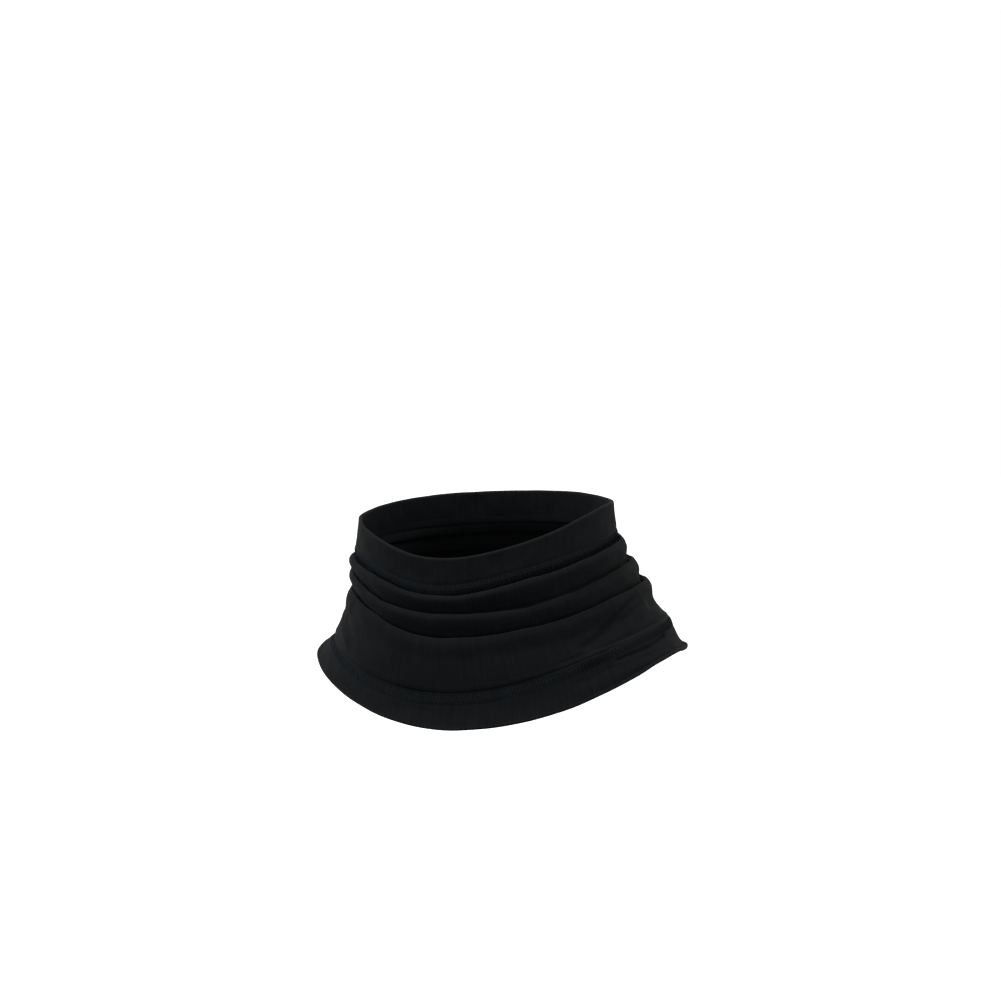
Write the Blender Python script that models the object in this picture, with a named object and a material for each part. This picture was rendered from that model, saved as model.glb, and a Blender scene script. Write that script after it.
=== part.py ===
"""A neck gaiter as it is worn: a knit tube with a doubled hem at each end, bunched into three folds.

Metres, +Z up. The wearer faces -Y, and the wearer's left is +X. The origin is the centre of the neck
opening, where the neck passes through the top hem. Every piece follows one middle surface of the cloth,
which is a stack of closed rings from the top seam, over the folds, down to the bottom seam. The hems
run on from the two seams, up the neck and out over the shoulders.
"""

import math
from collections import namedtuple

import bmesh
import bpy
import numpy as np

# Cloth
WALL = 0.0010
HEM_WALL = 2 * WALL
HEM_DEPTH = 0.0140
SEAM_GAP = 0.0003
FOLD_AIR = 0.0008
FOLD_RADIUS = (WALL + FOLD_AIR) / 2
TUCK = 0.0028

# The two seams that the tube hangs between, measured on the middle of the cloth
NECK_WIDTH = 0.1150
NECK_FRONT = 0.0590
NECK_BACK = 0.0575
SHOULDER_WIDTH = 0.1508
SHOULDER_FRONT = 0.0740
SHOULDER_BACK = 0.0690
NECK_SHIFT = 0.0025
SHOULDER_SHIFT = 0.0182
FRONT_DROP = 0.0757

# How finely the cloth is divided
AROUND = 64
PANEL_STEPS = 2
FIELD_STEPS = 2
HEM_STEPS = 4

# Colour of the cloth, for the viewport
CLOTH_COLOUR = (0.012, 0.014, 0.015, 1.0)
CLOTH_ROUGHNESS = 0.85

# Stations round the neck in degrees, from the front by the wearer's left and the back.
STATION_NAMES = "at_0 at_30 at_60 at_90 at_120 at_150 at_180 at_210 at_240 at_270 at_300 at_330"

# A ring of cloth. width, the two reaches and shift run from 0 at the top seam to 1 at the bottom seam.
# The values at the stations are shares of FRONT_DROP below the origin.
Section = namedtuple("Section", "name width reach_front reach_back shift " + STATION_NAMES)

TOP_SEAM = Section(
    "top seam", 0.00, 0.00, 0.00, 0.00,
    0.369, 0.327, 0.225, 0.133, 0.085, 0.062, 0.053, 0.062, 0.090, 0.138, 0.190, 0.263,
)
FIELD = (
    Section(
        "upper field", 0.56, 0.99, 0.70, 0.92,
        0.766, 0.737, 0.635, 0.525, 0.475, 0.465, 0.462, 0.470, 0.480, 0.500, 0.540, 0.635,
    ),
    Section(
        "lower field", 0.81, 1.05, 0.70, 0.97,
        0.885, 0.850, 0.720, 0.600, 0.545, 0.548, 0.560, 0.565, 0.570, 0.610, 0.655, 0.755,
    ),
)
BOTTOM_SEAM = Section(
    "bottom seam", 1.00, 1.00, 1.00, 1.00,
    0.995, 0.945, 0.769, 0.638, 0.600, 0.625, 0.660, 0.665, 0.658, 0.674, 0.732, 0.884,
)

# The crest line of each fold, from the top one down.
FOLDS = (
    Section(
        "first fold", 0.08, 0.20, 0.23, 0.09,
        0.410, 0.376, 0.269, 0.166, 0.116, 0.093, 0.086, 0.095, 0.122, 0.172, 0.226, 0.304,
    ),
    Section(
        "second fold", 0.19, 0.56, 0.49, 0.44,
        0.515, 0.506, 0.418, 0.290, 0.245, 0.215, 0.200, 0.205, 0.218, 0.250, 0.303, 0.418,
    ),
    Section(
        "third fold", 0.40, 0.86, 0.92, 0.78,
        0.648, 0.629, 0.530, 0.407, 0.370, 0.345, 0.335, 0.338, 0.345, 0.365, 0.414, 0.516,
    ),
)

# One value at each station.
Round = namedtuple("Round", "name " + STATION_NAMES)

# How deep the cloth above is tucked behind each crest, as shares of TUCK.
TUCKS = (
    Round("first fold", 1.00, 1.00, 1.00, 0.90, 0.80, 0.65, 0.60, 0.65, 0.70, 0.80, 0.90, 1.00),
    Round("second fold", 0.20, 0.20, 0.30, 0.60, 0.60, 0.60, 0.50, 0.60, 0.60, 0.90, 1.00, 0.80),
    Round("third fold", 0.80, 0.90, 1.00, 0.80, 0.70, 0.60, 0.50, 0.50, 0.50, 0.50, 0.60, 0.80),
)

# Which way each hem runs from its seam, in degrees outwards from the vertical. The curl is how many
# degrees further it leans at its folded edge than halfway along, and as many less at the seam.
TOP_LEAN = Round("top hem", 2, -1, -6, -8, -8, -8, -8, -8, -8, -8, -6, -1)
BOTTOM_LEAN = Round("bottom hem", 20, 20, 26, 35, 34, 32, 34, 42, 50, 57, 39, 28)
TOP_CURL = Round("top hem", 3, 3, 3, 3, 3, 3, 3, 3, 3, 3, 3, 3)
BOTTOM_CURL = Round("bottom hem", 17, 17, 17, 20, 20, 20, 18, 14, 8, 5, 6, 12)

# How far each hem reaches from its seam, as shares of HEM_DEPTH.
TOP_REACH = Round("top hem", 0.95, 0.90, 0.98, 1.10, 1.00, 1.00, 1.00, 1.00, 1.00, 1.00, 1.00, 0.95)
BOTTOM_REACH = Round("bottom hem", 0.89, 1.06, 1.13, 0.93, 1.03, 1.00, 1.00, 0.95, 0.84, 0.77, 0.84, 0.77)

# way is 1 for a hem that runs up from its seam and -1 for one that runs down.
Hem = namedtuple("Hem", "seam lean curl reach way")
TOP_HEM = Hem(TOP_SEAM, TOP_LEAN, TOP_CURL, TOP_REACH, 1)
BOTTOM_HEM = Hem(BOTTOM_SEAM, BOTTOM_LEAN, BOTTOM_CURL, BOTTOM_REACH, -1)


def round_the_neck(row):
    """The station values of a table row, carried smoothly to every step round the neck."""
    values = np.array([getattr(row, name) for name in STATION_NAMES.split()], float)
    harmonics = np.fft.rfft(values) / len(values)
    angle = 2 * math.pi * np.arange(AROUND) / AROUND
    total = np.full(AROUND, harmonics[0].real)
    for order in range(1, len(harmonics)):
        weight = 1 if order == len(values) // 2 else 2
        total += weight * (harmonics[order] * np.exp(1j * order * angle)).real
    return total


def between(start, end, share):
    return start + (end - start) * share


def section_ring(section):
    """Points of a section, from the front round by the wearer's left."""
    angle = 2 * math.pi * np.arange(AROUND) / AROUND
    side = between(NECK_WIDTH, SHOULDER_WIDTH, section.width) / 2
    front = between(NECK_FRONT, SHOULDER_FRONT, section.reach_front)
    back = between(NECK_BACK, SHOULDER_BACK, section.reach_back)
    shift = between(NECK_SHIFT, SHOULDER_SHIFT, section.shift)
    reach = np.where(np.cos(angle) > 0, front, back)
    return np.stack(
        [side * np.sin(angle), shift - reach * np.cos(angle), -FRONT_DROP * round_the_neck(section)], axis=1
    )


def outward(ring):
    """Unit directions that point level and away from the neck at each point of a ring."""
    along = np.roll(ring, -1, axis=0) - np.roll(ring, 1, axis=0)
    away = np.stack([-along[:, 1], along[:, 0], np.zeros(len(ring))], axis=1) * -1
    return away / np.linalg.norm(away, axis=1)[:, None]


def moved(ring, out, up):
    """A ring carried outwards and upwards, by one distance or by one at each point."""
    out = np.broadcast_to(out, len(ring))[:, None]
    up = np.broadcast_to(up, len(ring))[:, None]
    return ring + outward(ring) * out + np.array([0.0, 0.0, 1.0]) * up


def fold_rings(crest_row, tuck_row):
    """The rings that carry the cloth behind a crest, up its back and over it."""
    crest = section_ring(crest_row)
    tuck = TUCK * round_the_neck(tuck_row)
    r = FOLD_RADIUS
    return [
        moved(crest, -3 * r, r - tuck),
        moved(crest, -2 * r, -tuck),
        moved(crest, -r, -tuck / 2),
        crest,
        moved(crest, r, -r),
    ]


def curve_between(before, start, end, after, steps):
    """Rings on a smooth curve from start to end, with start and without end."""
    span = np.linalg.norm(end - start, axis=1)[:, None]
    ahead = np.linalg.norm(after - end, axis=1)[:, None]
    behind = np.linalg.norm(start - before, axis=1)[:, None]
    slope_start = ((end - start) / span * behind + (start - before) / behind * span) / (span + behind)
    slope_end = ((after - end) / ahead * span + (end - start) / span * ahead) / (span + ahead)
    rings = []
    for step in range(steps):
        t = step / steps
        rings.append(
            (2 * t**3 - 3 * t**2 + 1) * start
            + (t**3 - 2 * t**2 + t) * span * slope_start
            + (3 * t**2 - 2 * t**3) * end
            + (t**3 - t**2) * span * slope_end
        )
    return rings


def hem_rings(hem):
    """The hem's middle surface from its seam to its folded edge."""
    seam = section_ring(hem.seam)
    lean = np.radians(round_the_neck(hem.lean))
    curl = np.radians(round_the_neck(hem.curl))
    step = (HEM_DEPTH * round_the_neck(hem.reach) - HEM_WALL / 2)[:, None] / HEM_STEPS
    away = outward(seam)
    rings = [seam]
    for index in range(HEM_STEPS):
        share = (index + 0.5) / HEM_STEPS
        tilt = lean + curl * (2 * share - 1)
        level = away * np.sin(tilt)[:, None]
        upright = np.array([0.0, 0.0, hem.way]) * np.cos(tilt)[:, None]
        rings.append(rings[-1] + (level + upright) * step)
    return rings


def tube_rings():
    """The tube's middle surface from the top seam to the bottom seam."""
    top = section_ring(TOP_SEAM)
    bottom = section_ring(BOTTOM_SEAM)
    folds = [fold_rings(crest, tuck) for crest, tuck in zip(FOLDS, TUCKS)]
    field = [section_ring(row) for row in FIELD]
    rings = [top]
    for upper, lower in zip(folds, folds[1:]):
        rings += upper[:-1]
        rings += curve_between(upper[-2], upper[-1], lower[0], lower[1], PANEL_STEPS)
    last = folds[-1]
    rings += last[:-1]
    path = [last[-2], last[-1], *field, bottom, hem_rings(BOTTOM_HEM)[1]]
    for before, start, end, after in zip(path, path[1:], path[2:], path[3:]):
        rings += curve_between(before, start, end, after, FIELD_STEPS)
    return [*rings, bottom]


def facing(rings):
    """Unit normals of a stack of rings, pointing to the outside of the cloth."""
    stack = np.array(rings)
    around = np.roll(stack, -1, axis=1) - np.roll(stack, 1, axis=1)
    down = np.gradient(stack, axis=0)
    normal = np.cross(down, around)
    return normal / np.linalg.norm(normal, axis=2)[:, :, None]


def shortened(rings, first, last):
    """The stack with its first and last ring drawn back along the cloth by the given lengths."""
    ends = []
    for end, inner, length in ((rings[0], rings[1], first), (rings[-1], rings[-2], last)):
        way = inner - end
        ends.append(end + way / np.linalg.norm(way, axis=1)[:, None] * length)
    return [ends[0], *rings[1:-1], ends[1]]


def cloth_material():
    material = bpy.data.materials.new("black_knit")
    material.use_nodes = True
    shader = material.node_tree.nodes["Principled BSDF"]
    shader.inputs["Base Color"].default_value = CLOTH_COLOUR
    shader.inputs["Roughness"].default_value = CLOTH_ROUGHNESS
    shader.inputs["Metallic"].default_value = 0.0
    return material


def set_ring(vertices, ring):
    for vertex, place in zip(vertices, ring):
        vertex.co = place


def closed_band(name, loops, material):
    """One solid from rings that go down the outside of the cloth and back up its inside."""
    mesh = bpy.data.meshes.new(name)
    shape = bmesh.new()
    first = bmesh.ops.create_circle(shape, cap_ends=False, radius=1.0, segments=AROUND)["verts"]
    set_ring(first, loops[0])
    opening = edges = list(shape.edges)
    vertices = first
    for loop in loops[1:]:
        made = bmesh.ops.extrude_edge_only(shape, edges=edges)["geom"]
        fresh = {item for item in made if isinstance(item, bmesh.types.BMVert)}
        sides = [item for item in made if isinstance(item, bmesh.types.BMEdge)]
        edges = [edge for edge in sides if set(edge.verts) <= fresh]
        vertices = in_order(vertices, fresh)
        set_ring(vertices, loop)
    bmesh.ops.bridge_loops(shape, edges=opening + edges)
    bmesh.ops.recalc_face_normals(shape, faces=shape.faces)
    shape.to_mesh(mesh)
    shape.free()
    mesh.shade_smooth()
    mesh.materials.append(material)
    band = bpy.data.objects.new(name, mesh)
    bpy.context.scene.collection.objects.link(band)
    return band


def in_order(before, fresh):
    """The new vertices of an extruded ring, each in the place of the one that it grew from."""
    ordered = []
    for vertex in before:
        ends = [edge.other_vert(vertex) for edge in vertex.link_edges]
        ordered.append(next(end for end in ends if end in fresh))
    return ordered


def tube_loops():
    rings = shortened(tube_rings(), SEAM_GAP / 2, SEAM_GAP / 2)
    normals = facing(rings)
    outside = [ring + normal * WALL / 2 for ring, normal in zip(rings, normals)]
    inside = [ring - normal * WALL / 2 for ring, normal in zip(rings, normals)]
    return outside + inside[::-1]


def hem_loops(hem):
    """The outside of the hem lines up with the tube's, and its second layer lies inside."""
    rings = shortened(hem_rings(hem), SEAM_GAP / 2, 0.0)
    normals = facing(rings) * -hem.way
    inward = WALL / 2 - HEM_WALL
    outside = [ring + normal * WALL / 2 for ring, normal in zip(rings, normals)]
    inside = [ring + normal * inward for ring, normal in zip(rings, normals)]
    tip = (outside[-1] + inside[-1]) / 2
    way = rings[-1] - rings[-2]
    edge = tip + way / np.linalg.norm(way, axis=1)[:, None] * HEM_WALL / 2
    return outside + [edge] + inside[::-1]


def main():
    for thing in list(bpy.data.objects):
        bpy.data.objects.remove(thing)
    material = cloth_material()
    closed_band("top_hem", hem_loops(TOP_HEM), material)
    closed_band("neck_tube", tube_loops(), material)
    closed_band("bottom_hem", hem_loops(BOTTOM_HEM), material)


main()
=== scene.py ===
"""A neck gaiter of thin black cooling knit, dressed as it is worn: bunched folds and two doubled hems.

The cloth follows one middle surface, a stack of closed rings from the top seam, over three folds, down to
the bottom seam. Each hem runs on from its seam. Metres, +Z up, the wearer faces -Y and the wearer's left
is +X.
"""

import logging
import math
from dataclasses import dataclass, field
from enum import Enum
from typing import Any

import bpy
import numpy as np
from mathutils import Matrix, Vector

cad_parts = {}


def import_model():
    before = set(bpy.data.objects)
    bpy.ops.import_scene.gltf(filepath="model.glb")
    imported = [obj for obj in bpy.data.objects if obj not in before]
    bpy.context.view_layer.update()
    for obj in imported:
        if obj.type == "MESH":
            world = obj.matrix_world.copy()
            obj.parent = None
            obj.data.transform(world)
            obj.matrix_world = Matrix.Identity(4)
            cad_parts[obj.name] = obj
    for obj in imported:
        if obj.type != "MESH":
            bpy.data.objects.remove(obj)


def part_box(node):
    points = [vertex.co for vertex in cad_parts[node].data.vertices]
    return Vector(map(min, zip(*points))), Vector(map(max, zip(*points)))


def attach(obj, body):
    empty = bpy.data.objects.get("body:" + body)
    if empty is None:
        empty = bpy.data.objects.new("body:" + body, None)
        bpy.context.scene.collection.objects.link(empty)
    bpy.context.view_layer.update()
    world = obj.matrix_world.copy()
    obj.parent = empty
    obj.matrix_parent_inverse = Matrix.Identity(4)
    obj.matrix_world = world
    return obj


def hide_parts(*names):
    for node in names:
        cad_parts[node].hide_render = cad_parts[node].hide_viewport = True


log = logging.getLogger("gaiter")

MILLIMETRE = 0.001
BODY = "root"
UP = np.array([0.0, 0.0, 1.0])
TINY = 1e-12

# Steps round the neck in each piece of cloth, and rings of cloth kept on each side of a seam.
COLUMNS = 420
SEAM_ROWS = 12
# Stitches round the neck in each seam.
TOP_REPEATS = 320
BOTTOM_REPEATS = 414
# From the middle of a layer of knit to its face.
SKIN = 0.00035
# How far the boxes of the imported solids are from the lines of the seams.
TOP_HEM_WIDER = 0.0010
TUBE_WIDER = 0.0006
SEAM_LOWER = 0.0001
# Cloth in a degree round the neck.
MILLIMETRES_PER_DEGREE = 1.25

Stations = tuple[float, ...]
Amount = float | np.ndarray
Colour = tuple[float, float, float, float]


class Side(Enum):
    """Which side of the cloth a thread lies on."""

    OUTSIDE = 1
    INSIDE = -1


class Way(Enum):
    """Which way a hem runs from its seam."""

    UP = 1
    DOWN = -1


def round_the_neck(values: Stations, angle: np.ndarray) -> np.ndarray:
    """Carry twelve station values smoothly round the neck.

    Args:
        values: one value every 30 degrees, from the front by the wearer's left.
        angle: the angles, in radians, at which the values are wanted.

    Returns:
        One value at each angle.
    """
    harmonics = np.fft.rfft(np.array(values, float)) / len(values)
    total = np.full(len(angle), harmonics[0].real)
    for order in range(1, len(harmonics)):
        weight = 1 if order == len(values) // 2 else 2
        total += weight * (harmonics[order] * np.exp(1j * order * angle)).real
    return total


def between(start: Amount, end: Amount, share: float) -> Amount:
    """The value that lies the given share of the way from start to end."""
    return start + (end - start) * share


def steps_of(count: int) -> np.ndarray:
    """The angles of evenly spaced steps round the neck."""
    return 2 * math.pi * np.arange(count) / count


def smooth(value: np.ndarray, low: float, high: float) -> np.ndarray:
    """A soft step from 0 at low to 1 at high."""
    share = np.clip((value - low) / (high - low), 0.0, 1.0)
    return share * share * (3 - 2 * share)


def outward(ring: np.ndarray) -> np.ndarray:
    """Unit directions that point level and away from the neck at each point of a ring."""
    along = np.roll(ring, -1, axis=0) - np.roll(ring, 1, axis=0)
    away = np.stack([along[:, 1], -along[:, 0], np.zeros(len(ring))], axis=1)
    return away / np.linalg.norm(away, axis=1)[:, None]


def facing(rows: np.ndarray) -> np.ndarray:
    """Unit normals of a stack of rings, pointing to the outside of the cloth."""
    around = np.roll(rows, -1, axis=1) - np.roll(rows, 1, axis=1)
    down = np.gradient(rows, axis=0)
    normal = np.cross(down, around)
    return normal / np.maximum(np.linalg.norm(normal, axis=2), TINY)[:, :, None]


def lengths_down(rows: np.ndarray) -> np.ndarray:
    """The mean length of cloth from the first ring of a stack to each of its rings."""
    steps = np.linalg.norm(np.diff(rows, axis=0), axis=2).mean(axis=1)
    return np.concatenate([[0.0], np.cumsum(steps)])


@dataclass(frozen=True)
class Section:
    """A ring of cloth, as shares from 0 at the top seam to 1 at the bottom seam.

    The drops are shares of the front drop, at the twelve stations. The swell is in millimetres outwards.
    """

    width: float
    reach_front: float
    reach_back: float
    shift: float
    drops: Stations
    swell: Stations = (0,) * 12


@dataclass(frozen=True)
class Fold:
    """A fold: the line of its crest, how deep the cloth above is tucked behind it, and its swell."""

    crest: Section
    tuck: Stations
    swell: Stations


@dataclass(frozen=True)
class Crease:
    """A soft ridge or valley along a path of (degrees round the neck, millimetres above the origin).

    Height and width are in millimetres. It fades out over the taper, in millimetres, at both ends.
    """

    path: tuple[tuple[float, float], ...]
    height: float
    wide: float
    taper: float = 6.0


TOP_SEAM = Section(
    0.00, 0.00, 0.00, 0.00,
    (0.369, 0.327, 0.225, 0.133, 0.085, 0.062, 0.053, 0.062, 0.090, 0.138, 0.190, 0.263),
)
BOTTOM_SEAM = Section(
    1.00, 1.00, 1.00, 1.00,
    (0.995, 0.945, 0.769, 0.638, 0.600, 0.625, 0.660, 0.665, 0.658, 0.674, 0.732, 0.884),
    (2.6, 1.8, 0.5, 0.0, 0.0, 0.0, 0.0, 0.0, 0.0, 0.0, 0.0, 1.3),
)
UPPER_FIELD = Section(
    0.56, 0.99, 0.70, 0.92,
    (0.766, 0.737, 0.635, 0.525, 0.475, 0.465, 0.462, 0.470, 0.480, 0.500, 0.540, 0.635),
    (1.9, 1.2, 0.2, 0.0, 0.0, 0.0, 0.0, 0.0, 0.0, 0.0, 0.0, 1.0),
)
LOWER_FIELD = Section(
    0.81, 1.05, 0.70, 0.97,
    (0.885, 0.850, 0.720, 0.600, 0.545, 0.548, 0.560, 0.565, 0.570, 0.610, 0.655, 0.755),
    (2.2, 1.4, 0.3, 0.0, 0.0, 0.0, 0.0, 0.0, 0.0, 0.0, 0.0, 1.1),
)
FIRST_FOLD = Fold(
    Section(
        0.08, 0.20, 0.23, 0.09,
        (0.410, 0.376, 0.269, 0.166, 0.116, 0.093, 0.086, 0.095, 0.122, 0.172, 0.226, 0.304),
    ),
    tuck=(1.00, 1.00, 1.00, 0.90, 0.80, 0.65, 0.60, 0.65, 0.70, 0.80, 0.90, 1.00),
    swell=(0.5, 0.5, 0.6, 0.6, 0.6, 0.6, 0.6, 0.6, 0.7, 0.9, 0.8, 0.6),
)
SECOND_FOLD = Fold(
    Section(
        0.19, 0.56, 0.49, 0.44,
        (0.515, 0.506, 0.418, 0.290, 0.245, 0.215, 0.200, 0.205, 0.218, 0.250, 0.303, 0.418),
    ),
    tuck=(0.20, 0.20, 0.30, 0.60, 0.60, 0.60, 0.50, 0.60, 0.60, 0.90, 1.00, 0.80),
    swell=(0.6, 0.6, 0.7, 0.7, 0.7, 0.7, 0.7, 0.7, 0.8, 1.0, 0.9, 0.7),
)
THIRD_FOLD = Fold(
    Section(
        0.40, 0.86, 0.92, 0.78,
        (0.648, 0.629, 0.530, 0.407, 0.370, 0.345, 0.335, 0.338, 0.345, 0.365, 0.414, 0.516),
        (0.0, 0.0, 0.0, 0.0, 0.0, 0.0, 0.0, 0.0, 0.0, -0.7, -1.1, -0.2),
    ),
    tuck=(0.80, 0.90, 1.00, 0.80, 0.70, 0.60, 0.50, 0.50, 0.50, 0.50, 0.60, 0.80),
    swell=(0.5, 0.5, 0.5, 0.5, 0.5, 0.5, 0.5, 0.5, 0.5, 0.5, 0.5, 0.5),
)
FIELD = (UPPER_FIELD, LOWER_FIELD)
FOLDS = (FIRST_FOLD, SECOND_FOLD, THIRD_FOLD)
CREASES = {
    "tension valley on the wearer's left": Crease(
        ((54.0, -55.0), (61.7, -50.7), (67.7, -47.0), (74.6, -41.9), (84.9, -35.6), (94.0, -32.0)),
        height=-0.70,
        wide=1.5,
    ),
    "tension ridge on the wearer's left": Crease(
        ((50.0, -61.5), (60.9, -55.6), (66.9, -51.4), (74.6, -47.4), (85.7, -41.1), (99.0, -37.5)),
        height=0.95,
        wide=2.0,
    ),
    "hem valley on the wearer's left": Crease(
        ((65.0, -60.2), (73.7, -57.3), (81.4, -55.2), (88.3, -52.8), (96.0, -50.6)),
        height=-0.95,
        wide=0.9,
        taper=4.0,
    ),
    "hem ridge on the wearer's left": Crease(
        ((48.0, -73.5), (65.0, -65.0), (83.0, -59.9), (103.0, -56.8)), height=0.60, wide=2.2
    ),
    "upright ridge on the wearer's right": Crease(
        ((-60.0, -40.0), (-55.0, -45.0), (-41.0, -53.4), (-37.0, -58.0)), height=0.60, wide=1.5
    ),
    "upright valley on the wearer's right": Crease(
        ((-48.0, -41.0), (-45.0, -46.0), (-36.0, -52.0), (-32.0, -57.0)), height=-0.35, wide=1.8
    ),
    "short ridge on the wearer's right": Crease(
        ((-43.0, -35.0), (-43.7, -39.5), (-43.0, -44.0)), height=0.45, wide=1.2, taper=3.0
    ),
}


@dataclass
class Fit:
    """How the gaiter sits on its wearer. The seams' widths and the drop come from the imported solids."""

    neck_width: float
    shoulder_width: float
    front_drop: float
    neck_front: float = 0.0590
    neck_back: float = 0.0575
    shoulder_front: float = 0.0740
    shoulder_back: float = 0.0690
    neck_shift: float = 0.0025
    shoulder_shift: float = 0.0182

    @classmethod
    def from_solids(cls) -> "Fit":
        """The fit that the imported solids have."""
        hem_low, hem_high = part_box("top_hem")
        tube_low, tube_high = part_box("neck_tube")
        return cls(
            neck_width=hem_high.x - hem_low.x - TOP_HEM_WIDER,
            shoulder_width=tube_high.x - tube_low.x - TUBE_WIDER,
            front_drop=SEAM_LOWER - tube_low.z,
        )

    def ring(self, section: Section, angle: np.ndarray) -> np.ndarray:
        """The points of a section.

        Args:
            section: the section of the cloth.
            angle: the angles round the neck, in radians.

        Returns:
            One point at each angle, as rows of x, y and z.
        """
        side = between(self.neck_width, self.shoulder_width, section.width) / 2
        front = between(self.neck_front, self.shoulder_front, section.reach_front)
        back = between(self.neck_back, self.shoulder_back, section.reach_back)
        shift = between(self.neck_shift, self.shoulder_shift, section.shift)
        reach = np.where(np.cos(angle) > 0, front, back)
        drop = self.front_drop * round_the_neck(section.drops, angle)
        ring = np.stack([side * np.sin(angle), shift - reach * np.cos(angle), -drop], axis=1)
        return ring + outward(ring) * MILLIMETRE * round_the_neck(section.swell, angle)[:, None]


@dataclass
class Drape:
    """A dense stack of rings, on smooth curves through a few guide rings."""

    spacing: float = 0.00105
    fine: float = 0.00042
    fewest: int = 3

    def rows(self, guides: list[np.ndarray], before: np.ndarray, after: np.ndarray) -> np.ndarray:
        """Fill the guides with rings, more closely next to the two seams.

        Args:
            guides: the rings that the cloth passes through, from the top down.
            before: a ring that the cloth would come from, above the first guide.
            after: a ring that the cloth would go on to, below the last guide.

        Returns:
            The rings, the first and last guide among them.
        """
        path = [before, *guides, after]
        rings: list[np.ndarray] = []
        for index in range(1, len(path) - 2):
            spacing = self.fine if index in (1, len(path) - 3) else self.spacing
            rings += self.span(*path[index - 1 : index + 3], spacing)
        return np.array([*rings, guides[-1]])

    def span(
        self, before: np.ndarray, start: np.ndarray, end: np.ndarray, after: np.ndarray, spacing: float
    ) -> list[np.ndarray]:
        """The rings from start to just before end, on a curve that also knows its neighbours.

        Args:
            before: the guide ring before start.
            start: the guide ring at which the curve starts.
            end: the guide ring at which it ends.
            after: the guide ring after end.
            spacing: metres of cloth between the rings.

        Returns:
            The rings, with start and without end.
        """
        span = np.linalg.norm(end - start, axis=1)[:, None]
        ahead = np.linalg.norm(after - end, axis=1)[:, None]
        behind = np.linalg.norm(start - before, axis=1)[:, None]
        chord = (end - start) / span
        slope_start = (chord * behind + (start - before) / behind * span) / (span + behind)
        slope_end = ((after - end) / ahead * span + chord * ahead) / (span + ahead)
        count = max(self.fewest, round(float(span.mean()) / spacing))
        rings = []
        for step in range(count):
            t = step / count
            rings.append(
                (2 * t**3 - 3 * t**2 + 1) * start
                + (t**3 - 2 * t**2 + t) * span * slope_start
                + (3 * t**2 - 2 * t**3) * end
                + (t**3 - t**2) * span * slope_end
            )
        return rings


@dataclass
class Relief:
    """Soft forms of the worn cloth, smaller than the folds: creases, waves and what the seams pull in.

    The slit lies above the bottom seam and dips towards it round one angle. The lip stands above the slit.
    A wave term is a size, its waves round the neck, its waves down the cloth and its start.
    """

    groove_depth: float = 0.00016
    groove_half: float = 0.0028
    slit: float = 0.00026
    slit_half: float = 0.00042
    slit_level: float = 0.0027
    slit_dip: float = 0.0014
    dip_angle: float = 1.65
    dip_half: float = 0.55
    lip: float = 0.00022
    lip_half: float = 0.0012
    lip_above: float = 0.0015
    wave: float = 0.00022
    wave_terms: tuple[tuple[float, ...], ...] = (
        (0.5, 11, -14, 2.1),
        (0.4, 17, 19, 4.0),
        (0.25, 29, -31, 1.3),
    )

    def crease_height(self, angle: np.ndarray, rows: np.ndarray) -> np.ndarray:
        """How far the creases raise the cloth.

        Args:
            angle: radians round the neck of each point.
            rows: the points, as rings of x, y and z.

        Returns:
            The rise of each point, in metres.
        """
        degrees = (np.degrees(angle) + 180) % 360 - 180
        height = rows[:, :, 2] / MILLIMETRE
        rise = np.zeros_like(degrees)
        for crease in CREASES.values():
            nearest = np.full(degrees.shape, np.inf)
            along = np.zeros_like(degrees)
            run = 0.0
            for start, end in zip(crease.path, crease.path[1:]):
                vx = (end[0] - start[0]) * MILLIMETRES_PER_DEGREE
                vy = end[1] - start[1]
                px = (degrees - start[0]) * MILLIMETRES_PER_DEGREE
                py = height - start[1]
                length = math.hypot(vx, vy)
                share = np.clip((px * vx + py * vy) / length**2, 0.0, 1.0)
                far = np.hypot(px - share * vx, py - share * vy)
                closer = far < nearest
                nearest = np.where(closer, far, nearest)
                along = np.where(closer, run + share * length, along)
                run += length
            fade = smooth(along, 0.0, crease.taper) * (1 - smooth(along, run - crease.taper, run))
            rise += crease.height * MILLIMETRE * fade * np.exp(-((nearest / crease.wide) ** 2))
        return rise

    def waves(self, angle: np.ndarray, share: np.ndarray) -> np.ndarray:
        """Slow uneven waves of the cloth, the same on each run.

        Args:
            angle: radians round the neck of each point.
            share: how far down the cloth each point lies.

        Returns:
            The rise of each point, in metres.
        """
        total = 0.6 * np.sin(7 * angle + 2.3 * np.sin(9 * share) + 0.7)
        for size, around, down, start in self.wave_terms:
            total = total + size * np.sin(around * angle + down * share + start)
        return self.wave * total

    def groove(self, distance: np.ndarray) -> np.ndarray:
        """How far the stitches pull the cloth in, from the distance to the seam in metres."""
        return -self.groove_depth * np.exp(-((distance / self.groove_half) ** 6))

    def overhang(self, distance: np.ndarray, angle: np.ndarray, repeats: int) -> np.ndarray:
        """The lip of cloth that stands over the upper edge of a stitch band, and the slit under it.

        Args:
            distance: metres above the seam of each point.
            angle: radians round the neck of each point.
            repeats: how many stitches go round the neck.

        Returns:
            The rise of each point, in metres.
        """
        pulled = 0.8 + 0.2 * np.cos(repeats * angle) + 0.15 * np.sin(9 * angle + 1.0)
        dip = np.exp(-(((angle - self.dip_angle) / self.dip_half) ** 4))
        level = self.slit_level - self.slit_dip * dip
        lip = self.lip * np.exp(-(((distance - level - self.lip_above) / self.lip_half) ** 2))
        slit = self.slit * np.exp(-(((distance - level) / self.slit_half) ** 2))
        return lip - slit * pulled


def pick(piece: bpy.types.Object) -> None:
    """Make a piece the active one, and the only one that is selected."""
    bpy.ops.object.select_all(action="DESELECT")
    piece.select_set(True)
    bpy.context.view_layer.objects.active = piece


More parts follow.
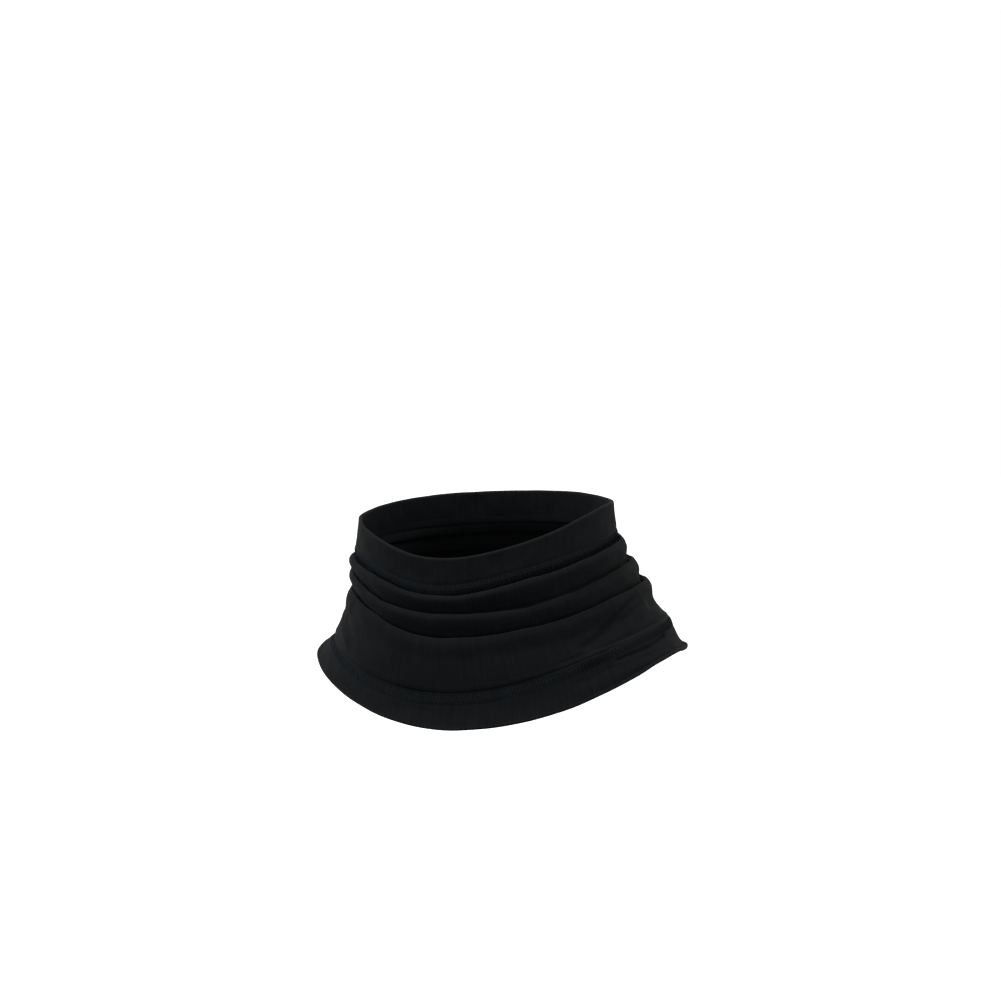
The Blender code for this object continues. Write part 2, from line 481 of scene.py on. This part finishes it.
@dataclass
class ClothMesh:
    """Turns the two skins of a piece of cloth into a closed mesh with a map in metres of cloth.

    The bends, per metre, are those at which the crest highlight and the tuck shade start and are full. The
    crest highlight is a painted highlight with some wear; the tuck shade is painted shade.
    """

    around: float = 0.400
    turn: int = 1
    highlight_and_wear_bend: tuple[float, float] = (150.0, 900.0)
    tuck_shade_bend: tuple[float, float] = (40.0, 300.0)

    def build(
        self, name: str, outside: np.ndarray, inside: np.ndarray, tip: list[np.ndarray], fold_shade: np.ndarray
    ) -> bpy.types.Object:
        """Make the piece.

        Args:
            name: the piece's name.
            outside: rings down the outside.
            inside: rings down the inside, as many as outside.
            tip: rings that carry the cloth from the last outside ring round to the last inside ring.
            fold_shade: painted shade at each point of the outside rings, from 0 to 1, by how nearly it
                touches a fold.

        Returns:
            The piece, at the origin.
        """
        loops = np.array([*outside, *tip, *inside[::-1]])
        down = lengths_down(loops)
        rows, columns = loops.shape[:2]
        row = np.repeat(np.arange(rows), columns)
        column = np.tile(np.arange(columns), rows)
        below = (row + 1) % rows
        beside = (column + 1) % columns
        places = ((row, column), (below, column), (below, beside), (row, beside))
        corners = np.stack([ring * columns + step for ring, step in places], axis=1)
        mesh = bpy.data.meshes.new(name)
        mesh.from_pydata(loops.reshape(-1, 3).tolist(), [], corners.tolist())
        last = np.linalg.norm(loops[0] - loops[-1], axis=1).mean()
        lower = np.where(below == 0, down[row] + last, down[below])
        left = column / columns * self.around
        right = (column + 1) / columns * self.around
        on_cloth = np.stack([left, down[row], left, lower, right, lower, right, down[row]], axis=1)
        mesh.uv_layers.new(name="cloth").data.foreach_set("uv", on_cloth.ravel())
        bend = self.bend(loops)
        # Lighter along crests and rims: a painted highlight, with some wear.
        highlight_and_wear = smooth(bend, *self.highlight_and_wear_bend)
        # Darker in tucks and just behind each fold's crest: painted shade.
        painted_tuck_shade = smooth(-bend, *self.tuck_shade_bend)
        painted_tuck_shade[: len(fold_shade)] = np.maximum(painted_tuck_shade[: len(fold_shade)], fold_shade)
        for label, share in (("highlight_and_wear", highlight_and_wear), ("painted_tuck_shade", painted_tuck_shade)):
            mesh.attributes.new(label, "FLOAT", "POINT").data.foreach_set("value", share.ravel())
        mesh.validate()
        piece = bpy.data.objects.new(name, mesh)
        bpy.context.scene.collection.objects.link(piece)
        self.turn_outwards(piece)
        mesh.shade_smooth()
        return piece

    def bend(self, loops: np.ndarray) -> np.ndarray:
        """How sharply the surface bends at each point, per metre: above 0 at a crest, below 0 in a tuck."""
        ahead = np.roll(loops, -1, axis=0) - loops
        behind = loops - np.roll(loops, 1, axis=0)
        far = np.linalg.norm(ahead, axis=2)
        near = np.linalg.norm(behind, axis=2)
        bend = (ahead / far[:, :, None] - behind / near[:, :, None]) / ((far + near) / 2)[:, :, None]
        across = np.roll(loops, -1, axis=1) - np.roll(loops, 1, axis=1)
        normal = np.cross(ahead + behind, across)
        normal /= np.maximum(np.linalg.norm(normal, axis=2), TINY)[:, :, None]
        return -self.turn * (bend * normal).sum(axis=2)

    def turn_outwards(self, piece: bpy.types.Object) -> None:
        """Point the faces of a closed piece outwards, by the operator that a hand would use."""
        pick(piece)
        bpy.ops.object.mode_set(mode="EDIT")
        bpy.ops.mesh.select_all(action="SELECT")
        bpy.ops.mesh.normals_make_consistent(inside=False)
        bpy.ops.object.mode_set(mode="OBJECT")
        piece.select_set(False)


def flat_area(rows: np.ndarray) -> float:
    """The area of one layer of cloth whose middle surface is a stack of rings."""
    across = np.roll(rows, -1, axis=1) - rows
    down = np.diff(rows, axis=0)
    return float(np.linalg.norm(np.cross(across[:-1], down), axis=2).sum())


@dataclass
class GaiterTube:
    """The tube between the two seams, bunched into three folds above a flared field.

    The panel swells are how far down a panel a ring lies, and what share of the fold's swell it has.
    The waves fade out over the still lengths next to the seams. Behind a crest, the cloth carries painted
    shade, darkest up to a third of the shaded height above it. The run-in is how far above the top seam the
    cloth comes from.
    """

    fit: Fit
    relief: Relief
    cut_width: float = 0.430
    radius: float = 0.0009
    tuck: float = 0.0028
    shaded: float = 0.0019
    run_in: float = 0.003
    still_top: float = 0.004
    still_bottom: float = 0.005
    panel_swells: tuple[tuple[float, float], ...] = ((0.26, 1.35), (0.70, 0.25))
    drape: Drape = field(default_factory=Drape)

    def fold_guides(self, fold: Fold) -> list[np.ndarray]:
        """The rings that carry the cloth behind a crest, up its back and over it."""
        angle = steps_of(COLUMNS)
        crest = self.fit.ring(fold.crest, angle)
        away = outward(crest)
        tuck = self.tuck * round_the_neck(fold.tuck, angle)[:, None]
        r = self.radius
        return [
            crest - 3 * r * away + (r - tuck) * UP,
            crest - 2 * r * away - tuck * UP,
            crest - r * away - tuck / 2 * UP,
            crest,
            crest + r * away - r * UP,
        ]

    def panel_guides(
        self, upper: list[np.ndarray], lower: list[np.ndarray], fold: Fold
    ) -> list[np.ndarray]:
        """Two rings that swell the panel between a fold and the next one below it."""
        swell = MILLIMETRE * round_the_neck(fold.swell, steps_of(COLUMNS))[:, None]
        away = outward(upper[-1])
        guides = []
        for share, part in self.panel_swells:
            guides.append(between(upper[-1], lower[0], share) + swell * part * away)
        return guides

    def middle(self, below: np.ndarray) -> np.ndarray:
        """The middle surface of the tube, before its relief.

        Args:
            below: the first ring of the bottom hem, that the tube runs on to.

        Returns:
            The rings from the top seam to the bottom seam.
        """
        angle = steps_of(COLUMNS)
        top = self.fit.ring(TOP_SEAM, angle)
        bottom = self.fit.ring(BOTTOM_SEAM, angle)
        folds = [self.fold_guides(fold) for fold in FOLDS]
        guides = [top, *folds[0]]
        for fold, upper, lower in zip(FOLDS, folds, folds[1:]):
            guides += self.panel_guides(upper, lower, fold)
            guides += lower
        guides += [self.fit.ring(section, angle) for section in FIELD]
        guides.append(bottom)
        return self.drape.rows(guides, top + self.run_in * UP, below)

    def painted_fold_shade(self, rows: np.ndarray) -> np.ndarray:
        """Painted shade behind the folds: how nearly each point touches the fold that it goes down behind,
        from 0 to 1.
        """
        fold_shade = np.zeros(rows.shape[:2])
        for fold in FOLDS:
            crest = self.fit.ring(fold.crest, steps_of(COLUMNS))
            last = int(np.abs(rows - crest).sum(axis=(1, 2)).argmin())
            above = rows[:last, :, 2] - crest[:, 2]
            fold_shade[:last] = np.maximum(fold_shade[:last], 1 - smooth(above, self.shaded / 3, self.shaded))
        return fold_shade

    def shaped(self, rows: np.ndarray) -> np.ndarray:
        """The middle surface with its creases, waves and grooves."""
        angle = np.broadcast_to(steps_of(COLUMNS), rows.shape[:2])
        down = lengths_down(rows)[:, None]
        long = down[-1, 0]
        free = smooth(down, 0.0, self.still_top) * smooth(long - down, 0.0, self.still_bottom)
        rise = self.relief.waves(angle, down / long) * free
        rise = rise + self.relief.crease_height(angle, rows)
        rise = rise + self.relief.groove(down) + self.relief.groove(long - down)
        rise = rise + self.relief.overhang(long - down, angle, BOTTOM_REPEATS)
        return rows + facing(rows) * rise[:, :, None]

    def build(self, finish: bpy.types.Material, below: np.ndarray) -> tuple[bpy.types.Object, np.ndarray]:
        """Make and dress the tube.

        Args:
            finish: the knit.
            below: the first ring of the bottom hem.

        Returns:
            The tube, and its middle surface.
        """
        middle = self.middle(below)
        rows = self.shaped(middle)
        half = facing(rows) * SKIN
        piece = ClothMesh().build("gaiter_tube", rows + half, rows - half, [], self.painted_fold_shade(middle))
        dress(piece, finish, "neck_tube")
        cut_length = round(flat_area(rows) / self.cut_width, 3)
        return piece, rows


@dataclass
class Hem:
    """A doubled hem: cloth folded back on itself at a rounded rim, and caught in the seam.

    Lean, curl and flick are degrees outwards at the stations: all over, growing down the hem, and only at
    its rim. Reach is the share of the depth that the hem has there. Waves fade out over the still length.
    """

    name: str
    node: str
    fit: Fit
    relief: Relief
    seam: Section
    way: Way
    lean: Stations
    curl: Stations
    reach: Stations
    flick: Stations = (0,) * 12
    depth: float = 0.0140
    thick: float = 0.0017
    steps: int = 30
    still: float = 0.006
    wave_start: float = 0.4
    wave_length: float = 0.05

    def middle(self) -> np.ndarray:
        """The line of the outer layer's middle from the seam to the rim."""
        angle = steps_of(COLUMNS)
        seam = self.fit.ring(self.seam, angle)
        bends = (self.lean, self.curl, self.flick)
        lean, curl, flick = (np.radians(round_the_neck(bend, angle)) for bend in bends)
        step = (self.depth * round_the_neck(self.reach, angle) - self.thick / 2)[:, None] / self.steps
        away = outward(seam)
        rings = [seam]
        for index in range(self.steps):
            share = (index + 0.5) / self.steps
            tilt = lean + curl * (2 * share - 1) + flick * share**6
            level = away * np.sin(tilt)[:, None]
            upright = UP * self.way.value * np.cos(tilt)[:, None]
            rings.append(rings[-1] + (level + upright) * step)
        return np.array(rings)

    def shaped(self, rows: np.ndarray) -> np.ndarray:
        """The middle surface with its creases, waves and groove."""
        angle = np.broadcast_to(steps_of(COLUMNS), rows.shape[:2])
        down = lengths_down(rows)[:, None]
        waves = self.relief.waves(angle + self.wave_start, down / self.wave_length)
        rise = waves * smooth(down, 0.0, self.still)
        rise = rise + self.relief.crease_height(angle, rows)
        rise = rise + self.relief.groove(down)
        return rows + facing(rows) * -self.way.value * rise[:, :, None]

    def build(self, finish: bpy.types.Material) -> tuple[bpy.types.Object, np.ndarray]:
        """Make and dress the hem.

        Args:
            finish: the knit.

        Returns:
            The hem, and the middle surface of its outer layer.
        """
        rows = self.shaped(self.middle())
        normal = facing(rows) * -self.way.value
        outside = rows + normal * SKIN
        inside = rows + normal * (SKIN - self.thick)
        onward = rows[-1] - rows[-2]
        onward = onward / np.linalg.norm(onward, axis=1)[:, None]
        centre = (outside[-1] + inside[-1]) / 2
        tip = []
        for turn in (30, 60, 90, 120, 150):
            level = math.cos(math.radians(turn)) * self.thick / 2
            reach = math.sin(math.radians(turn)) * self.thick / 2
            tip.append(centre + normal[-1] * level + onward * reach)
        # A hem has no painted shade behind folds.
        fold_shade = np.zeros(rows.shape[:2])
        piece = ClothMesh(turn=-self.way.value).build(self.name, outside, inside, tip, fold_shade)
        dress(piece, finish, self.node)
        length = float(np.linalg.norm(rows[0] - np.roll(rows[0], 1, axis=0), axis=1).sum())
        round(flat_area(rows) / length, 4)
        return piece, rows


@dataclass
class Strip:
    """The cloth on both sides of a seam, as one stack of rings with the distance from the seam."""

    rows: np.ndarray
    distance: np.ndarray

    @classmethod
    def across(cls, above: np.ndarray, below: np.ndarray) -> "Strip":
        """Join the last rings above a seam to the first rings below it."""
        rows = np.array([*above[-SEAM_ROWS:], *below[1:SEAM_ROWS]])
        down = lengths_down(rows)
        return cls(rows, down - down[SEAM_ROWS - 1])

    def at(self, angle: np.ndarray, distance: np.ndarray, lift: np.ndarray) -> np.ndarray:
        """Points on the cloth.

        Args:
            angle: radians round the neck of each point.
            distance: metres below the seam of each point, along the cloth.
            lift: metres off the middle of the cloth of each point.

        Returns:
            The points, as rows of x, y and z.
        """
        normal = facing(self.rows)
        columns = self.rows.shape[1]
        place = (angle / (2 * math.pi) * columns) % columns
        first = np.floor(place).astype(int) % columns
        second = (first + 1) % columns
        share = (place - np.floor(place))[:, None]
        level = np.interp(distance, self.distance, np.arange(len(self.distance)))
        top = np.minimum(np.floor(level).astype(int), len(self.distance) - 2)
        part = (level - top)[:, None]
        found = []
        for stack in (self.rows, normal):
            near = stack[top, first] * (1 - part) + stack[top + 1, first] * part
            far = stack[top, second] * (1 - part) + stack[top + 1, second] * part
            found.append(near * (1 - share) + far * share)
        return found[0] + found[1] * lift[:, None]


@dataclass
class SeamStitch:
    """The stretch stitch over a seam: legs that run to and fro between two rows of needle holes.

    The centre of the stitch lies below the seam, and each row of holes lies half its width from there. A
    leg leans by the slant, in repeats, and strays by the loose share.
    """

    strip: Strip
    repeats: int
    half: float = 0.0019
    centre: float = 0.0006
    slant: float = 1.10
    loose: float = 0.08
    thread: float = 0.00023
    fine_thread: float = 0.00014

    def bars(self, name: str, side: Side, finish: bpy.types.Material) -> bpy.types.Object:
        """The thread that crosses the seam in close bars, and goes back inside the cloth.

        Args:
            name: the piece's name.
            side: the side of the cloth that it lies on.
            finish: the thread's finish.

        Returns:
            The thread, as a mesh.
        """
        swing = np.array([-1.0, -0.9, -0.5, 0.0, 0.5, 0.9, 1.0, 0.0])
        lift = np.array([-0.30, 0.02, 0.10, 0.12, 0.10, 0.02, -0.30, -0.42]) * MILLIMETRE
        along = self.slant * (swing + 1) / 2
        along[-1] = (self.slant + 1) / 2
        shuffle = np.random.default_rng(self.repeats)
        bar = np.arange(self.repeats) + shuffle.normal(0.0, self.loose, self.repeats)
        swing = swing[None, :] * (1 + shuffle.normal(0.0, self.loose, (self.repeats, 1)))
        angle = (bar[:, None] + along[None, :]).ravel() / self.repeats * 2 * math.pi
        height = np.tile(lift, len(bar)) + SKIN
        distance = swing.ravel() * self.half + self.centre
        points = self.strip.at(angle, distance, height * side.value)
        return self.tube(name, points, self.thread, finish)

    def needle_row(
        self, name: str, distance: float, side: Side, finish: bpy.types.Material
    ) -> bpy.types.Object:
        """One row of needle stitches.

        Args:
            name: the piece's name.
            distance: metres below the seam.
            side: the side of the cloth that it lies on.
            finish: the thread's finish.

        Returns:
            The thread, as a mesh.
        """
        along = np.array([0.0, 0.2, 0.5, 0.8])
        lift = np.array([-0.20, 0.00, 0.06, 0.00]) * MILLIMETRE
        stitch = np.arange(self.repeats // 2)
        angle = (stitch[:, None] + along[None, :]).ravel() / len(stitch) * 2 * math.pi
        height = np.tile(lift, len(stitch)) + SKIN
        points = self.strip.at(angle, np.full(len(angle), distance), height * side.value)
        return self.tube(name, points, self.fine_thread, finish)

    def tube(
        self, name: str, points: np.ndarray, radius: float, finish: bpy.types.Material
    ) -> bpy.types.Object:
        """A closed thread through points, made as a round curve and turned into a mesh.

        Args:
            name: the piece's name.
            points: the points that it follows.
            radius: half its thickness, in metres.
            finish: its finish.

        Returns:
            The thread, as a mesh.
        """
        curve = bpy.data.curves.new(name, "CURVE")
        curve.dimensions = "3D"
        curve.bevel_depth = radius
        curve.bevel_resolution = 1
        spline = curve.splines.new("POLY")
        spline.points.add(len(points) - 1)
        spline.points.foreach_set("co", np.hstack([points, np.ones((len(points), 1))]).ravel())
        spline.use_cyclic_u = True
        piece = bpy.data.objects.new(name, curve)
        bpy.context.scene.collection.objects.link(piece)
        pick(piece)
        bpy.ops.object.convert(target="MESH")
        bpy.ops.object.shade_smooth()
        piece.select_set(False)
        piece.data.materials.append(finish)
        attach(piece, BODY)
        return piece


def dress(piece: bpy.types.Object, finish: bpy.types.Material, node: str) -> None:
    """Give a piece its finish and its place in the model.

    Args:
        piece: the piece.
        finish: its material.
        node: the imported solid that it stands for.
    """
    piece.data.materials.append(finish)
    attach(piece, BODY)
    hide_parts(node)


class Value:
    """A number that a shader works out, with arithmetic that adds the nodes."""

    def __init__(self, graph: "Graph", socket: bpy.types.NodeSocket) -> None:
        """Hold a socket of a graph."""
        self.graph = graph
        self.socket = socket

    def math(self, operation: str, *others: Any) -> "Value":
        """One Math node on this value and others."""
        values = {index: other for index, other in enumerate((self, *others))}
        return self.graph.node("ShaderNodeMath", {"operation": operation}, values)

    def __add__(self, other: Any) -> "Value":
        """The sum of two values."""
        return self.math("ADD", other)

    __radd__ = __add__

    def __mul__(self, other: Any) -> "Value":
        """The product of two values."""
        return self.math("MULTIPLY", other)

    __rmul__ = __mul__

    def __sub__(self, other: Any) -> "Value":
        """This value less another."""
        return self.math("SUBTRACT", other)

    def __rsub__(self, other: Any) -> "Value":
        """Another value less this one."""
        return self.graph.node("ShaderNodeMath", {"operation": "SUBTRACT"}, {0: other, 1: self})

    def __truediv__(self, other: Any) -> "Value":
        """This value over another."""
        return self.math("DIVIDE", other)


class Graph:
    """The nodes of one material."""

    def __init__(self, name: str) -> None:
        """Start a material with its own shader and output."""
        self.material = bpy.data.materials.new(name)
        self.material.use_nodes = True
        self.tree = self.material.node_tree
        self.shader = self.tree.nodes["Principled BSDF"]

    def node(
        self,
        kind: str,
        settings: dict[str, Any] | None = None,
        values: dict[Any, Any] | None = None,
        out: Any = 0,
    ) -> Value:
        """Add a node.

        Args:
            kind: the node's type.
            settings: its own settings, set before its sockets.
            values: numbers, colours or links for its input sockets, by place or name.
            out: the output socket that is wanted, by place or name.

        Returns:
            The wanted output.
        """
        made = self.tree.nodes.new(kind)
        for name, setting in (settings or {}).items():
            setattr(made, name, setting)
        for place, value in (values or {}).items():
            self.feed(made.inputs[place], value)
        return Value(self, made.outputs[out])

    def feed(self, socket: bpy.types.NodeSocket, value: Any) -> None:
        """Link a value to a socket, or set the socket's own number or colour."""
        if isinstance(value, Value):
            self.tree.links.new(value.socket, socket)
        else:
            socket.default_value = value

    def attribute(self, name: str) -> Value:
        """A number that the mesh carries at its points."""
        return self.node("ShaderNodeAttribute", {"attribute_name": name}, out="Fac")

    def noise(self, place: Value, scale: float, detail: float = 2.0, roughness: float = 0.5) -> Value:
        """A noise from 0 to 1 at a place."""
        return self.node(
            "ShaderNodeTexNoise",
            values={"Vector": place, "Scale": scale, "Detail": detail, "Roughness": roughness},
            out="Fac",
        )

    def mix(self, share: Any, first: Any, second: Any) -> Value:
        """A colour between two."""
        return self.node(
            "ShaderNodeMix",
            {"data_type": "RGBA", "clamp_factor": False},
            {"Factor": share, 6: first, 7: second},
            out=2,
        )

    def set(self, **constants: Any) -> None:
        """Set the shader's own sockets, with words joined by _ in their names."""
        for name, value in constants.items():
            self.feed(self.shader.inputs[name.replace("_", " ")], value)


@dataclass(frozen=True)
class KnitFinish:
    """Thin black polyester jersey: fine wales, a faint heather and a soft grazing sheen.

    The knit's loops and its relief are in metres. The scales of the noises are per metre of cloth. The
    colour carries
    painted light: darker in the knit's hollows and in tucks behind folds as painted shade, and lighter
    along crests as a painted highlight with some wear.
    """

    name: str = "black_jersey"
    wale: float = 0.0005
    course: float = 0.00045
    relief: float = 0.00006
    dark: Colour = (0.0018, 0.0022, 0.0025, 1.0)
    light: Colour = (0.0066, 0.0077, 0.0087, 1.0)
    streaks_across: float = 900.0
    streaks_down: float = 35.0
    patches: float = 55.0
    fibres: float = 2600.0
    heather: float = 2.4
    tone: float = 0.55
    crest_light: float = 0.55
    tuck_shade_strength: float = 0.6
    brightest: float = 1.6
    smoothest: float = 0.62
    uneven: float = 0.2

    def material(self) -> bpy.types.Material:
        """The material of the cloth."""
        graph = Graph(self.name)
        cloth = graph.node("ShaderNodeUVMap", {"uv_map": "cloth"})
        parts = graph.tree.nodes.new("ShaderNodeSeparateXYZ")
        graph.feed(parts.inputs[0], cloth)
        across = Value(graph, parts.outputs[0])
        down = Value(graph, parts.outputs[1])
        wale = across / self.wale
        middle = wale.math("PINGPONG", 0.5) * 2.0
        leg = (down / self.course + middle * 0.9) * (2 * math.pi)
        loop = leg.math("SINE") * 0.5 + 0.5
        height = middle.math("POWER", 0.6) * (loop * 0.55 + 0.45)
        stretched = {0: across * self.streaks_across, 1: down * self.streaks_down, 2: 0.0}
        streak = graph.noise(graph.node("ShaderNodeCombineXYZ", values=stretched), 1.0, 3.0, 0.6)
        patch = graph.noise(cloth, self.patches, 3.0, 0.55)
        fibre = graph.noise(cloth, self.fibres, 2.0, 0.6)
        tone = (streak * 0.50 + patch * 0.25 + fibre * 0.25 - 0.5) * self.heather + self.tone
        # A painted highlight, with some wear, lightens the colour along crests and rims.
        highlight_and_wear = graph.attribute("highlight_and_wear") * self.crest_light
        # Painted shade darkens the colour in tucks and just behind each fold's crest.
        painted_tuck_shade = graph.attribute("painted_tuck_shade") * self.tuck_shade_strength
        # The colour is darker in the hollows between the knit's loops: painted shade.
        shade = tone * (height * 0.5 + 0.5) + highlight_and_wear - painted_tuck_shade
        shade = shade.math("MINIMUM", self.brightest).math("MAXIMUM", 0.0)
        colour = graph.mix(shade, self.dark, self.light)
        rough = self.smoothest + patch * self.uneven
        bump = graph.node(
            "ShaderNodeBump",
            values={"Strength": 0.8, "Distance": self.relief, "Height": height + fibre * 0.35},
        )
        graph.set(Base_Color=colour, Roughness=rough, Normal=bump)
        graph.set(Specular_IOR_Level=0.035, Sheen_Weight=0.02, Sheen_Roughness=0.45)
        return graph.material


@dataclass(frozen=True)
class ThreadFinish:
    """Smooth navy polyester thread with a faint twist."""

    name: str = "navy_thread"
    dark: Colour = (0.0040, 0.0053, 0.0066, 1.0)
    light: Colour = (0.0112, 0.0150, 0.0184, 1.0)
    twists: float = 1500.0
    patches: float = 120.0
    relief: float = 0.00004

    def material(self) -> bpy.types.Material:
        """The material of the thread."""
        graph = Graph(self.name)
        place = graph.node("ShaderNodeTexCoord", out="Object")
        twist = graph.noise(place, self.twists, 2.0, 0.6)
        patch = graph.noise(place, self.patches, 2.0, 0.5)
        colour = graph.mix(twist * 0.6 + patch * 0.4, self.dark, self.light)
        bump = graph.node(
            "ShaderNodeBump",
            values={"Strength": 0.5, "Distance": self.relief, "Height": twist},
        )
        graph.set(Base_Color=colour, Roughness=0.5 + patch * 0.1, Normal=bump)
        graph.set(Specular_IOR_Level=0.03)
        return graph.material


@dataclass(frozen=True)
class Lamp:
    """A soft square light: where it stands, the length of its sides in metres and its power in watts."""

    name: str
    place: tuple[float, float, float]
    size: float
    power: float


LAMPS = (
    Lamp("key_above", (-0.5, -1.1, 1.9), 0.9, 44.0),
    Lamp("soft_left", (-1.9, -0.5, 0.8), 0.8, 7.0),
    Lamp("front_fill", (0.7, -1.9, -0.1), 0.9, 15.0),
    Lamp("soft_right", (1.8, 0.8, 0.9), 0.8, 20.0),
)


@dataclass
class Studio:
    """A pale floor, a white room and soft lights, all outside the part.

    The room's levels are shares of its height, each with its brightness there.
    """

    floor_level: float = -0.30
    floor_size: float = 16.0
    floor_dark: Colour = (0.93, 0.93, 0.93, 1.0)
    floor_light: Colour = (0.97, 0.97, 0.97, 1.0)
    glow: Colour = (1.0, 1.0, 1.0, 1.0)
    levels: tuple[tuple[float, float], ...] = ((0.45, 0.10), (0.48, 1.0), (0.56, 1.0), (0.66, 0.42))

    def floor(self) -> None:
        """The floor under the part."""
        graph = Graph("pale_floor")
        place = graph.node("ShaderNodeTexCoord", out="Object")
        colour = graph.mix(graph.noise(place, 3.0), self.floor_dark, self.floor_light)
        graph.set(Base_Color=colour, Roughness=0.9, Emission_Color=self.glow, Emission_Strength=1.0)
        bpy.ops.object.select_all(action="DESELECT")
        bpy.ops.mesh.primitive_plane_add(size=self.floor_size, location=(0.0, 0.0, self.floor_level))
        floor = bpy.context.object
        floor.name = "floor"
        bpy.ops.object.transform_apply(location=True)
        floor.data.materials.append(graph.material)
        floor.visible_diffuse = False
        floor.visible_glossy = False
        floor.visible_shadow = False

    def room(self) -> None:
        """The white room, that is darker below its floor."""
        world = bpy.data.worlds.new("white_room")
        world.use_nodes = True
        tree = world.node_tree
        place = tree.nodes.new("ShaderNodeTexCoord")
        parts = tree.nodes.new("ShaderNodeSeparateXYZ")
        ramp = tree.nodes.new("ShaderNodeValToRGB")
        stops = ramp.color_ramp.elements
        for index, (level, strength) in enumerate(self.levels):
            stop = stops[index] if index < 2 else stops.new(level)
            stop.position = level
            stop.color = (strength, strength, strength, 1.0)
        half = tree.nodes.new("ShaderNodeMapRange")
        half.inputs["From Min"].default_value = -1.0
        tree.links.new(place.outputs["Generated"], parts.inputs[0])
        tree.links.new(parts.outputs["Z"], half.inputs["Value"])
        tree.links.new(half.outputs["Result"], ramp.inputs["Fac"])
        tree.links.new(ramp.outputs["Color"], tree.nodes["Background"].inputs["Color"])
        bpy.context.scene.world = world

    def light(self, lamp: Lamp) -> None:
        """Add a light that faces the part."""
        data = bpy.data.lights.new(lamp.name, "AREA")
        data.shape = "SQUARE"
        data.size = lamp.size
        data.energy = lamp.power
        holder = bpy.data.objects.new(lamp.name, data)
        holder.location = lamp.place
        aim = -np.array(lamp.place) / np.linalg.norm(lamp.place)
        level = math.hypot(aim[0], aim[1])
        holder.rotation_euler = (math.atan2(level, -aim[2]), 0.0, math.atan2(-aim[0], aim[1]))
        bpy.context.scene.collection.objects.link(holder)

    def build(self) -> None:
        """Set up the studio."""
        self.floor()
        self.room()
        for lamp in LAMPS:
            self.light(lamp)
        bpy.context.scene.view_settings.view_transform = "Standard"


@dataclass
class PhotoCamera:
    """The camera, where the photograph was taken from."""

    place: tuple[float, float, float] = (0.91446, -1.77871, 0.09329)
    pitch: float = 87.54
    turn: float = 27.0
    lens: float = 163.47
    sensor: float = 36.0

    def build(self) -> None:
        """Add the camera and make it the scene's own."""
        data = bpy.data.cameras.new("photo_camera")
        data.lens = self.lens
        data.sensor_width = self.sensor
        camera = bpy.data.objects.new("photo_camera", data)
        camera.location = self.place
        camera.rotation_euler = (math.radians(self.pitch), 0.0, math.radians(self.turn))
        bpy.context.scene.collection.objects.link(camera)
        bpy.context.scene.camera = camera


@dataclass
class Gaiter:
    """The whole gaiter: the tube, its two hems and the stitches over both seams."""

    fit: Fit
    relief: Relief = field(default_factory=Relief)

    def top_hem(self) -> Hem:
        """The hem at the neck opening."""
        return Hem(
            "gaiter_top_hem", "top_hem", self.fit, self.relief, TOP_SEAM, Way.UP,
            lean=(2, -1, -6, -8, -8, -8, -8, -8, -8, -8, -6, -1),
            curl=(3, 3, 3, 3, 3, 3, 3, 3, 3, 3, 3, 3),
            reach=(0.95, 0.90, 0.98, 1.10, 1.00, 1.00, 1.00, 1.00, 1.00, 1.00, 1.00, 0.95),
        )

    def bottom_hem(self) -> Hem:
        """The hem that lies out over the shoulders."""
        return Hem(
            "gaiter_bottom_hem", "bottom_hem", self.fit, self.relief, BOTTOM_SEAM, Way.DOWN,
            lean=(21, 19, 23, 23, 26, 32, 34, 44, 52, 58, 36, 28),
            curl=(18, 18, 16, 8, 6, 18, 18, 12, 2, 0, 5, 12),
            reach=(0.93, 1.07, 1.16, 1.02, 1.08, 1.00, 1.00, 0.95, 0.84, 0.78, 0.86, 0.79),
            flick=(0, 0, 17, 66, 50, 12, 0, 0, 6, 10, 0, 0),
        )

    def stitches(self, place: str, strip: Strip, repeats: int, finish: bpy.types.Material) -> None:
        """All the thread of one seam.

        Args:
            place: top or bottom, for the pieces' names.
            strip: the cloth on both sides of the seam.
            repeats: how many bars go round the neck.
            finish: the thread's finish.
        """
        seam = SeamStitch(strip, repeats)
        made = [
            seam.bars(f"{place}_cover_stitch", Side.OUTSIDE, finish),
            seam.needle_row(f"{place}_upper_needle_row", seam.centre - seam.half, Side.INSIDE, finish),
            seam.needle_row(f"{place}_lower_needle_row", seam.centre + seam.half, Side.INSIDE, finish),
        ]
        for piece in made:
            log.info("%s: %d faces", piece.name, len(piece.data.polygons))

    def build(self) -> None:
        """Make every piece of the gaiter."""
        knit = KnitFinish().material()
        thread = ThreadFinish().material()
        top, top_rows = self.top_hem().build(knit)
        bottom, bottom_rows = self.bottom_hem().build(knit)
        tube, tube_rows = GaiterTube(self.fit, self.relief).build(knit, self.bottom_hem().middle()[2])
        for piece in (top, tube, bottom):
            log.info("%s: %d faces", piece.name, len(piece.data.polygons))
        self.stitches("top", Strip.across(top_rows[::-1], tube_rows), TOP_REPEATS, thread)
        self.stitches("bottom", Strip.across(tube_rows, bottom_rows), BOTTOM_REPEATS, thread)


def main() -> None:
    """Build the camera, the studio and the gaiter."""
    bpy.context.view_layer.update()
    PhotoCamera().build()
    Studio().build()
    Gaiter(Fit.from_solids()).build()


if __name__ == "__main__":
    logging.basicConfig(level=logging.INFO, format="%(message)s")
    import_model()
    main()
